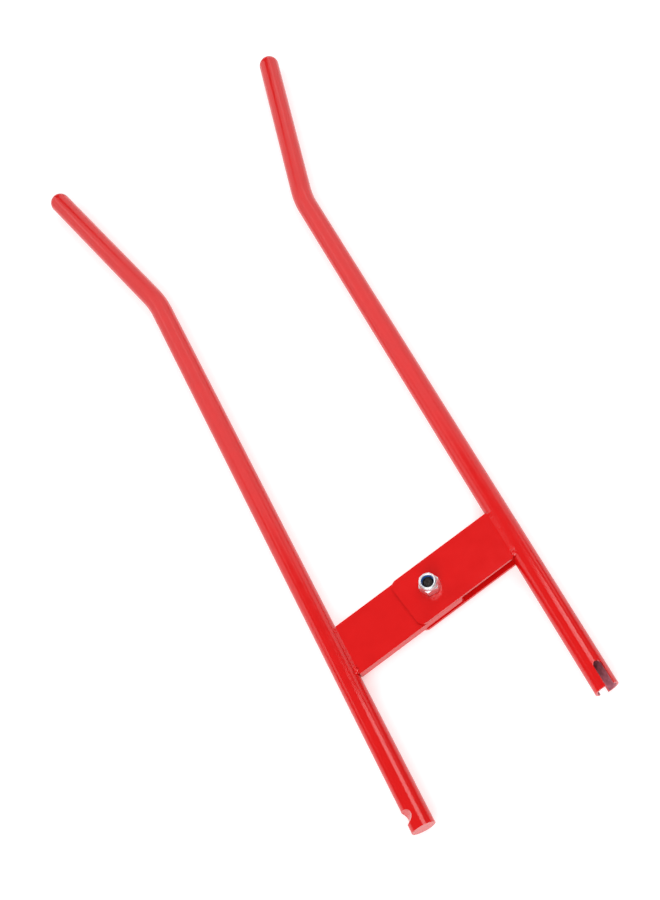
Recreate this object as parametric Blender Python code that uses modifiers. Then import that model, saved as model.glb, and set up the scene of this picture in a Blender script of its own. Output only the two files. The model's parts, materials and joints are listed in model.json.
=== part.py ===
"""Two-lever spreading clamp: two bent tube levers whose link plates pivot on one bolt.

The tool lies flat. +Z is the nut's side, +Y runs from the jaws to the handles, and +X runs from the
left lever to the right one. The origin is under the middle of the tool, on the plane that it lies on.
The right arm holds the fork of two outer plates, the bolt and the nut. The left arm holds the centre
plate and turns about the bolt.
"""

import math

import bmesh
import bpy
from mathutils import Matrix, Vector

# Levers
LEVER_RADIUS = 0.011
TUBE_WALL = 0.002
LEVER_SPACING = 0.1895  # between the axes of the two levers
SKEW = math.radians(8.0)  # the right lever sits this much further towards the handles
JAW_REACH = 0.166  # from the bolt to the jaw ends
BEND_REACH = 0.4505  # from the bolt to the bends
HANDLE_LENGTH = 0.2115  # from the bend to the tip of the handle
HANDLE_SPLAY = math.radians(13.65)
BEND_RADIUS = 0.11
BEND_STEPS = 6

# Jaws
JAW_LEAN = math.radians(20)  # the slot and the notch are turned this much about their levers
SLOT_WIDTH = 0.0085
SLOT_DEPTH = 0.023
NOTCH_RADIUS = 0.006
NOTCH_DEPTH = 0.0048
NOTCH_FROM_END = 0.0138
SLUG_LENGTH = 0.036

# Handle caps
CAP_SPIGOT = 0.014

# Link plates
PLATE_WIDTH = 0.050
OUTER_PLATE = 0.003
CENTRE_PLATE = 0.010
OUTER_PLATE_END = 0.026  # from the bolt to the free ends of the outer plates
CENTRE_PLATE_END = 0.017  # from the bolt to the free end of the centre plate
OUTER_CORNER = 0.007
CENTRE_CORNER = 0.006
LOWER_PLATE_EXTRA = 0.001  # the lower plate is this much wider on each long edge
PLATE_EDGE = 0.0005
WELD_LEG = 0.0045
WELD_RISE = 0.002  # how far a bead climbs the lever's side above the plate
WELD_CROWN = 0.0005  # how far a bead's face stands out from a straight line
WELD_SHORT = 0.001  # each end of a bead stops this far inside the plate's edge

# M10 bolt and tall lock nut, 28 mm long under the head, 17 mm across flats
PIVOT_FROM_MIDDLE = 0.0084  # the bolt sits this far to the right of the middle between the levers
BOLT_RADIUS = 0.0049
BOLT_LENGTH = 0.028
HEAD_HEIGHT = 0.0064
ACROSS_FLATS = 0.017
HEX_CHAMFER = 0.0012
CHAMFER_FLAT = 0.97  # a chamfered end's flat, as a share of the size across flats
NUT_HEX_HEIGHT = 0.0092
NUT_HEIGHT = 0.0145
NUT_BORE = 0.0052
COLLAR_RADIUS = 0.0079
COLLAR_ROUND = 0.0022
LIP_RADIUS = 0.0056
LIP_HEIGHT = 0.0008
INSERT_POCKET = 0.0068
INSERT_HEIGHT = 0.003
INSERT_BORE = 0.0052
PLATE_HOLE = 0.0054

GAP = 0.0003  # between pieces that touch
THROUGH = 0.005  # how far a cutter runs past the solid that it cuts
ROOT_OVERLAP = 0.001  # how far the shank reaches into the head
PAST_CORNER = 0.0005  # how far an envelope clears the hexagon's corners
SIDES = 32

# Worked out from the above
SHIFT = math.tan(SKEW)
LEFT_X = -LEVER_SPACING / 2 - PIVOT_FROM_MIDDLE
RIGHT_X = LEVER_SPACING / 2 - PIVOT_FROM_MIDDLE
BORE_RADIUS = LEVER_RADIUS - TUBE_WALL
HANDLE_STRAIGHT = HANDLE_LENGTH - LEVER_RADIUS  # to the middle of the handle's domed tip
OUTER_LOW = CENTRE_PLATE / 2 + GAP
OUTER_TOP = OUTER_LOW + OUTER_PLATE
NUT_SEAT = OUTER_TOP + GAP
HEX_RADIUS = ACROSS_FLATS / math.sqrt(3)
TIP_TOP = BEND_REACH + RIGHT_X * SHIFT + HANDLE_STRAIGHT * math.cos(HANDLE_SPLAY) + LEVER_RADIUS
JAW_BOTTOM = -JAW_REACH + LEFT_X * SHIFT
PIVOT = Vector((PIVOT_FROM_MIDDLE, -(TIP_TOP + JAW_BOTTOM) / 2, NUT_SEAT + HEAD_HEIGHT))

RED_PAINT = (0.72, 0.014, 0.014, 1.0)
ZINC = (0.70, 0.71, 0.72, 1.0)
BLACK_STEEL = (0.045, 0.042, 0.042, 1.0)
BLUE_NYLON = (0.03, 0.09, 0.32, 1.0)


def clear_scene():
    for obj in list(bpy.data.objects):
        bpy.data.objects.remove(obj)


def new_collection(name):
    collection = bpy.data.collections.new(name)
    bpy.context.scene.collection.children.link(collection)
    return collection


def make_material(name, colour, roughness, metallic):
    material = bpy.data.materials.new(name)
    material.use_nodes = True
    shader = material.node_tree.nodes["Principled BSDF"]
    shader.inputs["Base Color"].default_value = colour
    shader.inputs["Roughness"].default_value = roughness
    shader.inputs["Metallic"].default_value = metallic
    return material


def add_arm(name, collection):
    """An empty on the bolt's axis, at mid thickness of the centre plate."""
    arm = bpy.data.objects.new(name, None)
    arm.location = PIVOT
    collection.objects.link(arm)
    return arm


def mesh_from_curve(name, curve, collection):
    """Makes the curve's solid a mesh with its caps welded, and removes the curve."""
    bpy.context.view_layer.update()
    graph = bpy.context.evaluated_depsgraph_get()
    mesh = bpy.data.meshes.new_from_object(curve.evaluated_get(graph))
    shape = bmesh.new()
    shape.from_mesh(mesh)
    bmesh.ops.remove_doubles(shape, verts=shape.verts, dist=1e-6)
    bmesh.ops.recalc_face_normals(shape, faces=shape.faces)
    shape.to_mesh(mesh)
    shape.free()
    obj = bpy.data.objects.new(name, mesh)
    obj.matrix_world = curve.matrix_world
    collection.objects.link(obj)
    bpy.data.objects.remove(curve)
    return obj


def round_bar(name, path, radius, collection):
    """A solid round bar along the points of path."""
    data = bpy.data.curves.new(name + "_path", "CURVE")
    data.dimensions = "3D"
    data.bevel_depth = radius
    data.bevel_resolution = SIDES // 4 - 1
    data.use_fill_caps = True
    spline = data.splines.new("POLY")
    spline.points.add(len(path) - 1)
    for point, place in zip(spline.points, path):
        point.co = (*place, 1.0)
    curve = bpy.data.objects.new(name + "_path", data)
    collection.objects.link(curve)
    return mesh_from_curve(name, curve, collection)


def flat_piece(name, outlines, thickness, collection):
    """A flat piece centred on its own XY plane. The first outline is its edge and the others are holes."""
    data = bpy.data.curves.new(name + "_outline", "CURVE")
    data.dimensions = "2D"
    data.fill_mode = "BOTH"
    data.extrude = thickness / 2
    for outline in outlines:
        spline = data.splines.new("POLY")
        spline.points.add(len(outline) - 1)
        for point, (x, y) in zip(spline.points, outline):
            point.co = (x, y, 0.0, 1.0)
        spline.use_cyclic_u = True
    curve = bpy.data.objects.new(name + "_outline", data)
    collection.objects.link(curve)
    return mesh_from_curve(name, curve, collection)


def turned_piece(name, profile, steps, collection):
    """A piece turned about Z. The profile is (radius, height) from the top of its outer side down."""
    mesh = bpy.data.meshes.new(name)
    points = [(radius, 0.0, height) for radius, height in profile]
    edges = [(i, i + 1) for i in range(len(points) - 1)]
    if profile[0][0] > 0:
        edges.append((len(points) - 1, 0))
    mesh.from_pydata(points, edges, [])
    obj = bpy.data.objects.new(name, mesh)
    collection.objects.link(obj)
    screw = obj.modifiers.new("Screw", "SCREW")
    screw.steps = steps
    screw.render_steps = steps
    screw.use_merge_vertices = True
    screw.merge_threshold = 0.00001
    return obj


def prism(name, radius, height, sides, collection):
    """A prism on the XY plane that stands up along Z."""
    mesh = bpy.data.meshes.new(name)
    shape = bmesh.new()
    bmesh.ops.create_cone(
        shape, cap_ends=True, segments=sides, radius1=radius, radius2=radius, depth=height
    )
    bmesh.ops.translate(shape, verts=shape.verts, vec=(0, 0, height / 2))
    shape.to_mesh(mesh)
    shape.free()
    obj = bpy.data.objects.new(name, mesh)
    collection.objects.link(obj)
    return obj


def boolean(obj, other, operation):
    modifier = obj.modifiers.new(operation.title(), "BOOLEAN")
    modifier.operation = operation
    modifier.solver = "EXACT"
    modifier.object = other


def as_cutter(obj):
    obj.hide_render = True
    obj.display_type = "WIRE"
    return obj


def bevel_edges(obj, width):
    bevel = obj.modifiers.new("Bevel", "BEVEL")
    bevel.width = width
    bevel.segments = 1
    bevel.limit_method = "ANGLE"
    bevel.angle_limit = math.radians(60)


def finish_piece(obj, arm, material):
    """Parents a piece, modelled about the bolt, to its arm, and shades its round sides smooth."""
    obj.parent = arm
    obj.data.materials.clear()
    obj.data.materials.append(material)
    obj.data.shade_smooth()
    obj.data.set_sharp_from_angle(angle=math.radians(35))


def arc(centre, radius, start, end, steps):
    """Points on an arc, from the angle start to the angle end."""
    for i in range(steps + 1):
        angle = start + (end - start) * i / steps
        yield (centre[0] + radius * math.cos(angle), centre[1] + radius * math.sin(angle))


def circle(centre, radius, steps):
    return list(arc(centre, radius, 0.0, 2 * math.pi * (steps - 1) / steps, steps - 1))


def lever_x(side):
    return LEFT_X if side < 0 else RIGHT_X


def jaw_y(side):
    return -JAW_REACH + lever_x(side) * SHIFT


def bend_y(side):
    return BEND_REACH + lever_x(side) * SHIFT


def handle_direction(side):
    return Vector((side * math.sin(HANDLE_SPLAY), math.cos(HANDLE_SPLAY), 0.0))


def handle_end(side):
    """The middle of the handle's domed tip, where the tube ends and the cap begins."""
    return Vector((lever_x(side), bend_y(side), 0.0)) + HANDLE_STRAIGHT * handle_direction(side)


def lever_path(side, past_jaw, past_handle):
    """The lever's centre line, from the jaw end through the bend to the handle's end."""
    x = lever_x(side)
    run_in = BEND_RADIUS * math.tan(HANDLE_SPLAY / 2)
    centre_x = x + side * BEND_RADIUS
    bend_start = bend_y(side) - run_in
    path = [Vector((x, jaw_y(side) - past_jaw, 0.0))]
    for i in range(BEND_STEPS + 1):
        turn = HANDLE_SPLAY * i / BEND_STEPS
        across = centre_x - side * BEND_RADIUS * math.cos(turn)
        path.append(Vector((across, bend_start + BEND_RADIUS * math.sin(turn), 0.0)))
    path.append(handle_end(side) + past_handle * handle_direction(side))
    return path


def lever_tube(name, side, parts, cutters):
    tube = round_bar(name, lever_path(side, 0.0, -GAP), LEVER_RADIUS, parts)
    bore_path = lever_path(side, THROUGH, THROUGH)
    boolean(tube, as_cutter(round_bar(name + "_bore", bore_path, BORE_RADIUS, cutters)), "DIFFERENCE")
    return tube


def slot_cutter(cutters):
    """The slot across the right lever's jaw end: open at the end, round at its head."""
    half = SLOT_WIDTH / 2
    head_y = jaw_y(1) + SLOT_DEPTH - half
    outline = [(-half, jaw_y(1) - THROUGH), (half, jaw_y(1) - THROUGH)]
    outline += arc((0.0, head_y), half, 0.0, math.pi, 12)
    slot = flat_piece("jaw_slot", [outline], 2 * (LEVER_RADIUS + THROUGH), cutters)
    slot.data.transform(Matrix.Rotation(JAW_LEAN, 4, "Y"))
    slot.location.x = RIGHT_X
    return as_cutter(slot)


def notch_cutter(cutters):
    """The half-round notch in the outer side of the left lever's jaw end."""
    depth = 2 * (LEVER_RADIUS + THROUGH)
    notch = prism("jaw_notch", NOTCH_RADIUS, depth, SIDES, cutters)
    offset = NOTCH_DEPTH - LEVER_RADIUS - NOTCH_RADIUS
    notch.data.transform(Matrix.Translation((offset, 0.0, -depth / 2)))
    notch.data.transform(Matrix.Rotation(JAW_LEAN, 4, "Y"))
    notch.location = (LEFT_X, jaw_y(-1) + NOTCH_FROM_END, 0.0)
    return as_cutter(notch)


def jaw_slug(cutters_notch, parts):
    """The solid slug that fills the left tube's jaw end and backs the notch."""
    start = Vector((LEFT_X, jaw_y(-1), 0.0))
    end = start + Vector((0.0, SLUG_LENGTH, 0.0))
    slug = round_bar("left_jaw_slug", [start, end], BORE_RADIUS - GAP, parts)
    boolean(slug, cutters_notch, "DIFFERENCE")
    return slug


def handle_cap(name, side, parts):
    """A domed plug, whose spigot fits in the end of the handle."""
    spigot_radius = BORE_RADIUS - GAP
    profile = list(arc((0.0, 0.0), LEVER_RADIUS, math.pi / 2, 0.0, SIDES // 4))
    profile[0] = (0.0, LEVER_RADIUS)
    profile += [(spigot_radius, 0.0), (spigot_radius, -CAP_SPIGOT), (0.0, -CAP_SPIGOT)]
    cap = turned_piece(name, profile, SIDES, parts)
    cap.matrix_local = Matrix.Translation(handle_end(side)) @ (
        Vector((0.0, 0.0, 1.0)).rotation_difference(handle_direction(side)).to_matrix().to_4x4()
    )
    return cap


def plate_outline(root_x, free_x, width, corner):
    """A plate from the lever side at root_x to its free end, with the free end's corners rounded.

    Its long edges follow the skew, and its root is cut along the lever.
    """
    half = width / 2 / math.cos(SKEW)
    towards = 1.0 if free_x > root_x else -1.0
    along = Vector((math.cos(SKEW), math.sin(SKEW))) * towards
    across = Vector((-math.sin(SKEW), math.cos(SKEW)))
    tip = along * abs(free_x)
    low = tip - across * width / 2 - along * corner + across * corner
    high = tip + across * width / 2 - along * corner - across * corner
    facing = math.atan2(along.y, along.x)
    outline = [(root_x, root_x * SHIFT - towards * half)]
    first, last = (low, high) if towards > 0 else (high, low)
    outline += arc(first, corner, facing - math.pi / 2, facing, 8)
    outline += arc(last, corner, facing, facing + math.pi / 2, 8)
    outline.append((root_x, root_x * SHIFT + towards * half))
    return outline


def tube_side(height):
    """How far a lever's side is from its axis, at a height above its middle."""
    return math.sqrt(LEVER_RADIUS**2 - height**2)


def link_plate(name, root_x, free_x, width, thickness, middle_z, corner, parts):
    outline = plate_outline(root_x, free_x, width, corner)
    hole = circle((0.0, 0.0), PLATE_HOLE, SIDES)
    plate = flat_piece(name, [outline, hole], thickness, parts)
    plate.location.z = middle_z
    bevel_edges(plate, PLATE_EDGE)
    return plate


def fillet_weld(name, side, face_z, up, width, parts):
    """A weld bead in the corner between a plate's face and the lever's side."""
    x = lever_x(side)
    inward = -side
    clear = LEVER_RADIUS + GAP
    low = face_z + GAP
    high = min(low + WELD_RISE, LEVER_RADIUS)
    climb = arc((0.0, 0.0), clear, math.asin(low / clear), math.asin(high / clear), 5)
    profile = [(x + inward * px, up * pz) for px, pz in climb]
    toe = (x + inward * (math.sqrt(clear**2 - low**2) + WELD_LEG), up * low)
    crown = (
        (profile[-1][0] + toe[0]) / 2 + inward * WELD_CROWN,
        up * ((high + low) / 2 + WELD_CROWN),
    )
    profile += [crown, toe]
    length = width / math.cos(SKEW) - 2 * WELD_SHORT
    bead = flat_piece(name, [profile], length, parts)
    bead.data.transform(Matrix.Rotation(math.pi / 2, 4, "X"))
    bead.location.y = (x + inward * LEVER_RADIUS) * SHIFT
    return bead


def hex_envelope(name, profile, cutters):
    return as_cutter(turned_piece(name, profile, SIDES * 2, cutters))


def pivot_bolt(parts, cutters):
    """A hexagon head with its top and bottom corners turned off, on a plain shank."""
    bolt = prism("pivot_bolt", HEX_RADIUS, HEAD_HEIGHT, 6, parts)
    bolt.data.transform(Matrix.Translation((0.0, 0.0, -HEAD_HEIGHT)))
    past = HEX_RADIUS + PAST_CORNER
    envelope = [(0.0, 0.0), (past, 0.0), (past, HEX_CHAMFER - HEAD_HEIGHT)]
    envelope += [(ACROSS_FLATS / 2 * CHAMFER_FLAT, -HEAD_HEIGHT), (0.0, -HEAD_HEIGHT)]
    boolean(bolt, hex_envelope("head_envelope", envelope, cutters), "INTERSECT")
    shank = prism("bolt_shank", BOLT_RADIUS, BOLT_LENGTH + ROOT_OVERLAP, SIDES, cutters)
    shank.data.transform(Matrix.Translation((0.0, 0.0, -ROOT_OVERLAP)))
    boolean(bolt, as_cutter(shank), "UNION")
    for obj in (bolt, shank, bpy.data.objects["head_envelope"]):
        obj.location.z = -NUT_SEAT
    return bolt


def lock_nut(parts, cutters):
    """A hexagon nut with a round collar above the hexagon, which holds the insert under its lip."""
    nut = prism("lock_nut", HEX_RADIUS, NUT_HEIGHT, 6, parts)
    round_centre = (COLLAR_RADIUS - COLLAR_ROUND, NUT_HEIGHT - COLLAR_ROUND)
    past = HEX_RADIUS + PAST_CORNER
    outside = [(0.0, NUT_HEIGHT)]
    outside += arc(round_centre, COLLAR_ROUND, math.pi / 2, 0.0, 4)
    outside += [(COLLAR_RADIUS, NUT_HEX_HEIGHT + HEX_CHAMFER), (past, NUT_HEX_HEIGHT)]
    outside += [(past, HEX_CHAMFER / 2), (ACROSS_FLATS / 2 * CHAMFER_FLAT, 0.0), (0.0, 0.0)]
    boolean(nut, hex_envelope("nut_envelope", outside, cutters), "INTERSECT")
    pocket_top = NUT_HEIGHT - LIP_HEIGHT
    pocket_bottom = pocket_top - INSERT_HEIGHT - 2 * GAP
    inside = [(0.0, NUT_HEIGHT + THROUGH), (LIP_RADIUS, NUT_HEIGHT + THROUGH), (LIP_RADIUS, pocket_top)]
    inside += [(INSERT_POCKET, pocket_top), (INSERT_POCKET, pocket_bottom), (NUT_BORE, pocket_bottom)]
    inside += [(NUT_BORE, -THROUGH), (0.0, -THROUGH)]
    boolean(nut, as_cutter(turned_piece("nut_inside", inside, SIDES, cutters)), "DIFFERENCE")
    for obj in (nut, bpy.data.objects["nut_envelope"], bpy.data.objects["nut_inside"]):
        obj.location.z = NUT_SEAT
    return nut


def nylon_insert(parts):
    """The ring under the nut's lip that grips the bolt's thread."""
    top = NUT_HEIGHT - LIP_HEIGHT - GAP
    outer = INSERT_POCKET - GAP
    bottom = top - INSERT_HEIGHT
    profile = [(outer, top), (outer, bottom), (INSERT_BORE, bottom), (INSERT_BORE, top)]
    ring = turned_piece("nylon_insert", profile, SIDES, parts)
    ring.location.z = NUT_SEAT
    return ring


def build_left_arm(arm, parts, cutters, red):
    tube = lever_tube("left_lever_tube", -1, parts, cutters)
    notch = notch_cutter(cutters)
    boolean(tube, notch, "DIFFERENCE")
    slug = jaw_slug(notch, parts)
    cap = handle_cap("left_handle_cap", -1, parts)
    root_x = LEFT_X + LEVER_RADIUS + GAP
    plate = link_plate(
        "centre_link_plate", root_x, CENTRE_PLATE_END, PLATE_WIDTH, CENTRE_PLATE, 0.0, CENTRE_CORNER, parts
    )
    face = CENTRE_PLATE / 2
    welds = [
        fillet_weld("centre_weld_upper", -1, face, 1, PLATE_WIDTH, parts),
        fillet_weld("centre_weld_lower", -1, face, -1, PLATE_WIDTH, parts),
    ]
    for piece in (tube, slug, cap, plate, *welds):
        finish_piece(piece, arm, red)
    notch.parent = arm
    bpy.data.objects["left_lever_tube_bore"].parent = arm


def build_right_arm(arm, parts, cutters, red):
    tube = lever_tube("right_lever_tube", 1, parts, cutters)
    slot = slot_cutter(cutters)
    boolean(tube, slot, "DIFFERENCE")
    cap = handle_cap("right_handle_cap", 1, parts)
    root_x = RIGHT_X - tube_side(OUTER_LOW) - GAP
    middle = (OUTER_LOW + OUTER_TOP) / 2
    lower_width = PLATE_WIDTH + 2 * LOWER_PLATE_EXTRA
    upper = link_plate(
        "upper_link_plate", root_x, -OUTER_PLATE_END, PLATE_WIDTH, OUTER_PLATE, middle, OUTER_CORNER, parts
    )
    lower = link_plate(
        "lower_link_plate", root_x, -OUTER_PLATE_END, lower_width, OUTER_PLATE, -middle, OUTER_CORNER, parts
    )
    welds = [
        fillet_weld("upper_plate_weld", 1, OUTER_TOP, 1, PLATE_WIDTH, parts),
        fillet_weld("lower_plate_weld", 1, OUTER_TOP, -1, lower_width, parts),
    ]
    for piece in (tube, cap, upper, lower, *welds):
        finish_piece(piece, arm, red)
    slot.parent = arm
    bpy.data.objects["right_lever_tube_bore"].parent = arm


def build_pivot(arm, parts, cutters):
    finish_piece(pivot_bolt(parts, cutters), arm, make_material("black_steel", BLACK_STEEL, 0.35, 1.0))
    finish_piece(lock_nut(parts, cutters), arm, make_material("zinc_plated_steel", ZINC, 0.25, 1.0))
    finish_piece(nylon_insert(parts), arm, make_material("blue_nylon", BLUE_NYLON, 0.4, 0.0))
    for name in ("head_envelope", "bolt_shank", "nut_envelope", "nut_inside"):
        bpy.data.objects[name].parent = arm


def main():
    clear_scene()
    parts = new_collection("two_lever_clamp")
    cutters = new_collection("cutters")
    red = make_material("red_powder_coat", RED_PAINT, 0.3, 0.0)
    right_arm = add_arm("right_arm", parts)
    left_arm = add_arm("left_arm", parts)
    build_left_arm(left_arm, parts, cutters, red)
    build_right_arm(right_arm, parts, cutters, red)
    build_pivot(right_arm, parts, cutters)


main()
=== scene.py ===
"""Looks for the two-lever spreading clamp: painted levers, link plates, weld beads and pivot fasteners.

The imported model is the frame, and the pieces' places and boxes are read from it. What a box can't give,
such as the thread's pitch or the slot's width, is a property of a group below or a named constant.
"""

import json
import math
import random

import bmesh
import bpy
from bpy.props import FloatProperty, FloatVectorProperty, IntProperty, PointerProperty
from mathutils import Matrix, Vector


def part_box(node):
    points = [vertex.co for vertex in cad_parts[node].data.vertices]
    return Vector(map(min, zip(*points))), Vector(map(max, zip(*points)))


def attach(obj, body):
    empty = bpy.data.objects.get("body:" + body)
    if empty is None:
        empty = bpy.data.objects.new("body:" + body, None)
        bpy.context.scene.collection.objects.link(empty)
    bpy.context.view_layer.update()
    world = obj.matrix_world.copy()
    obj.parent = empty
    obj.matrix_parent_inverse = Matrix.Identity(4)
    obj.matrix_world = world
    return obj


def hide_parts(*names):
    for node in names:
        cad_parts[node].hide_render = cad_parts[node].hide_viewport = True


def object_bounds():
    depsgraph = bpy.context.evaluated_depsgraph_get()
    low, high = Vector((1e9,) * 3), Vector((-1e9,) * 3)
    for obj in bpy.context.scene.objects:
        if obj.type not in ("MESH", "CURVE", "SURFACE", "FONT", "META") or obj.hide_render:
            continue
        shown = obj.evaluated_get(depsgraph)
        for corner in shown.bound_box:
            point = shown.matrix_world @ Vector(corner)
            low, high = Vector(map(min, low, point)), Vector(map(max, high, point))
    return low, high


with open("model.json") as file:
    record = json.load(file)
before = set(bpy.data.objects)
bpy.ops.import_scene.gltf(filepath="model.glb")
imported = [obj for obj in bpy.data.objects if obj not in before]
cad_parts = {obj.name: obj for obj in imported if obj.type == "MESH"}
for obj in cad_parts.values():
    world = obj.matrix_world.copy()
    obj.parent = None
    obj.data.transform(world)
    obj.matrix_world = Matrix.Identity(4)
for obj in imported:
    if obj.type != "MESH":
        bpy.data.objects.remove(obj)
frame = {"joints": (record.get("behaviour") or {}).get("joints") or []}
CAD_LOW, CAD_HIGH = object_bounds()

bl_info = {
    "name": "Two-lever clamp",
    "version": (1, 0, 0),
    "blender": (4, 5, 0),
    "location": "3D View > Sidebar > Clamp",
    "description": "Builds the finished pieces of a two-lever spreading clamp around its packed frame",
    "category": "Object",
}

MM = 0.001
PIVOT = Vector(frame["joints"][0]["pos_m"])
LEFT, RIGHT = -1, 1
ARM = {LEFT: "left_arm", RIGHT: "right_arm"}
SIDE_NAME = {LEFT: "left", RIGHT: "right"}

# The clearance between pieces that touch, and how far the levers' cutters reach past what they cut.
GAP = 0.0003
THROUGH = 0.01

# The angle in degrees above which an edge shows as an edge, by kind of surface.
SHARP = {"thread": 25, "bead": 28, "nut": 28, "slug": 35, "ring": 40, "cap": 50, "plate": 50}

# Faces of the bore: how far before the bend they stop, how far out they reach, and how square to the lever
# a face may be before it counts as the tube's end.
BORE_BEFORE_BEND = 0.02
BORE_MARGIN = 0.0002
END_FACING = 0.5

# A weld bead: points across it, rows in each ripple, its reach past the corner, the paint's skirt, how far
# its face fills the corner from 0 to 1, the ripples' height, and where its back lies inside the lever, as a
# share of the lever's radius.
BEAD_STEPS = 12
BEAD_ROWS = 6
BEAD_FOOT = 0.0012
BEAD_SKIRT = 0.00005
BEAD_FULLNESS = 0.95
BEAD_RIPPLE = 0.00004
BEAD_SUNK = 0.93
LUMP_WIDTH = 0.0009

# The handle caps' spigots and the bolt's hole in the plates.
CAP_SPIGOT = 0.014
PLATE_HOLE = 0.0054

# The lock nut, from its seat: hexagon, shoulder, collar, the lip that holds its ring, and how far its
# cutter reaches past its ends.
NUT_HEXAGON = 0.0092
NUT_SHOULDER = 0.0104
NUT_CHAMFER = 0.0012
NUT_EDGE = 0.00025
COLLAR_RADIUS = 0.0084
COLLAR_ROUNDING = 0.0028
LIP_RADIUS = 0.0056
LIP_HEIGHT = 0.0008
LIP_ROUNDING = 0.0003
LIP_FLARE = 0.0009
NUT_PAST_CORNER = 0.0005
NUT_FLAT = 0.0001
COLLAR_STEP = 0.0002
COLLAR_DROP = 0.0003
NUT_OVERRUN = 0.005

# The nylon ring, and the bore that the thread cuts in it and in the nut.
BORE_RADIUS = 0.0052
RING_EDGE = 0.0004
RING_LEAD = 0.0010
RING_FLARE = 0.0003
RING_MOUTH = 0.0008

# The lamps: what they aim at, then each one's place, its size in metres and its power in watts. The strip's
# reflection is the narrow streak on the lower levers, and the panels' is the broad one on the handles.
LAMPS_MIDDLE = Vector((0.0, 0.15, 0.0))
LAMPS_HANDLES = Vector((0.0, 0.2, 0.0))
KEY_PLACE = Vector((-0.9, -1.6, 2.0))
KEY_SIZE = (1.8, 1.8)
KEY_WATTS = 43.0
PANEL_PLACE = Vector((0.0, 1.95, 2.4))
PANEL_SIZE = (4.0, 1.3)
PANEL_WATTS = 20.0
SIDE_PLACE = Vector((2.1, 2.3, 1.15))
SIDE_SIZE = (3.4, 2.2)
SIDE_WATTS = 25.0
STRIP_PLACE = Vector((0.55, 0.12, 1.30))
STRIP_SIZE = (0.66, 0.80)
STRIP_WATTS = 5.6

# The bolt.
HEAD_PAST_CORNER = 0.001
HEAD_CHAMFER = 0.0014
HEAD_FLAT = 0.0002
BOLT_CHAMFER = 0.0010
ROOT_OVERLAP = 0.001
TURNING_STEPS = 96


def linear(hex_colour):
    """An sRGB hex colour as linear red, green, blue and alpha."""
    channels = [int(hex_colour[i : i + 2], 16) / 255 for i in (1, 3, 5)]
    return tuple(c / 12.92 if c <= 0.04045 else ((c + 0.055) / 1.055) ** 2.4 for c in channels) + (1.0,)


# ---------------------------------------------------------------- settings


class ClampSizes(bpy.types.PropertyGroup):
    """Sizes that the frame doesn't hold."""

    sides: IntProperty(name="Tube sides", description="Facets round a lever", default=72, min=24)
    handle_splay: FloatProperty(
        name="Handle splay",
        description="Outward bend of each handle",
        default=math.radians(13.65),
        subtype="ANGLE",
    )
    bend_radius: FloatProperty(
        name="Bend radius",
        description="Radius of the lever's centre line at its bend",
        default=0.11,
        unit="LENGTH",
    )
    tube_wall: FloatProperty(
        name="Tube wall", description="Wall of a lever's tube", default=0.002, unit="LENGTH"
    )
    slot_width: FloatProperty(
        name="Slot width",
        description="Width of the slot in the right jaw",
        default=0.0085,
        unit="LENGTH",
    )
    slot_depth: FloatProperty(
        name="Slot depth",
        description="Depth of the slot from the end of the right jaw",
        default=0.023,
        unit="LENGTH",
    )
    notch_radius: FloatProperty(
        name="Notch radius",
        description="Radius of the notch in the left jaw",
        default=0.006,
        unit="LENGTH",
    )
    notch_depth: FloatProperty(
        name="Notch depth",
        description="How far the notch reaches into the left jaw",
        default=0.0048,
        unit="LENGTH",
    )
    notch_from_end: FloatProperty(
        name="Notch from end",
        description="From the left jaw's end to the notch's axis",
        default=0.0138,
        unit="LENGTH",
    )
    jaw_lean: FloatProperty(
        name="Jaw lean",
        description="Turn of the slot and the notch about their levers",
        default=math.radians(20),
        subtype="ANGLE",
    )
    painted_edge: FloatProperty(
        name="Painted edge",
        description="Radius that the powder coat leaves on a cut edge",
        default=0.0006,
        unit="LENGTH",
    )
    plate_edge: FloatProperty(
        name="Plate edge", description="Radius of the link plates' edges", default=0.0010, unit="LENGTH"
    )
    outer_corner: FloatProperty(
        name="Outer plate corner",
        description="Corner radius of the outer plates' free ends",
        default=0.007,
        unit="LENGTH",
    )
    centre_corner: FloatProperty(
        name="Centre plate corner",
        description="Corner radius of the centre plate's free end",
        default=0.006,
        unit="LENGTH",
    )
    bolt_radius: FloatProperty(
        name="Bolt radius", description="Outside of the thread", default=0.0049, unit="LENGTH"
    )
    head_height: FloatProperty(
        name="Head height", description="Height of the bolt's head", default=0.0064, unit="LENGTH"
    )
    thread_pitch: FloatProperty(
        name="Thread pitch", description="Coarse M10 pitch", default=0.0015, unit="LENGTH"
    )
    thread_depth: FloatProperty(
        name="Thread depth", description="Height of the M10 thread", default=0.0009, unit="LENGTH"
    )
    weld_rise: FloatProperty(
        name="Weld rise",
        description="How far a bead climbs the lever above the plate",
        default=0.0018,
        unit="LENGTH",
    )
    weld_ripple: FloatProperty(
        name="Weld ripple",
        description="Spacing of the ripples along a weld bead",
        default=0.0021,
        unit="LENGTH",
    )


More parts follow.
